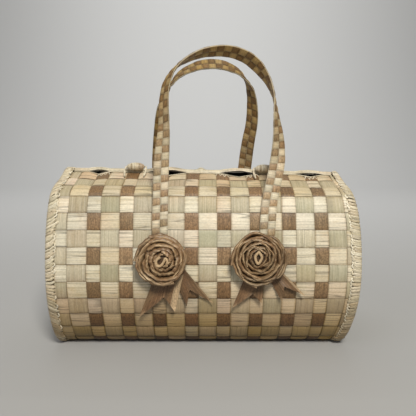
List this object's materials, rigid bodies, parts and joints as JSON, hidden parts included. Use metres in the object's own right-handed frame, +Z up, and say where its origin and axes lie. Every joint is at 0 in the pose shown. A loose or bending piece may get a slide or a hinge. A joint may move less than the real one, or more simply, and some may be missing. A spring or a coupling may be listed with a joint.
{
  "type": "woven purse",
  "caption": "Loaf-shaped plaited leaf purse with a slit mouth along the top, bound ends, strap handles and coiled leaf roses with notched tails on the front.",
  "frame": {"origin": "on the floor, under the middle of the purse's bounding box", "axes": "+Z up, +X along the barrel to the right as seen from the front, -Y out of the front with the roses"},
  "size_m": [0.26, 0.125, 0.2545],
  "materials": {
    "plaited_leaf": "plaited cream and brown palm leaf, satin",
    "bound_leaf": "whip-stitched cream palm leaf, satin",
    "strap_leaf": "narrow plaited cream and brown palm leaf, satin",
    "rose_leaf": "folded tan palm leaf, soft sheen",
    "tail_leaf": "flat brown palm leaf, soft sheen"
  },
  "bodies": {
    "root": {"body_wall": "plaited_leaf", "end_left": "plaited_leaf", "end_right": "plaited_leaf", "rim_left": "bound_leaf", "rim_right": "bound_leaf", "lip_front": "bound_leaf", "lip_back": "bound_leaf", "handle_front": "strap_leaf", "handle_back": "strap_leaf", "rosette_left": "rose_leaf", "rosette_right": "rose_leaf", "tail_left_a": "tail_leaf", "tail_left_b": "tail_leaf", "tail_right_a": "tail_leaf", "tail_right_b": "tail_leaf", "knot_left": "bound_leaf", "knot_right": "bound_leaf", "loop_left": "bound_leaf", "loop_right": "bound_leaf"}
  },
  "joints": []
}
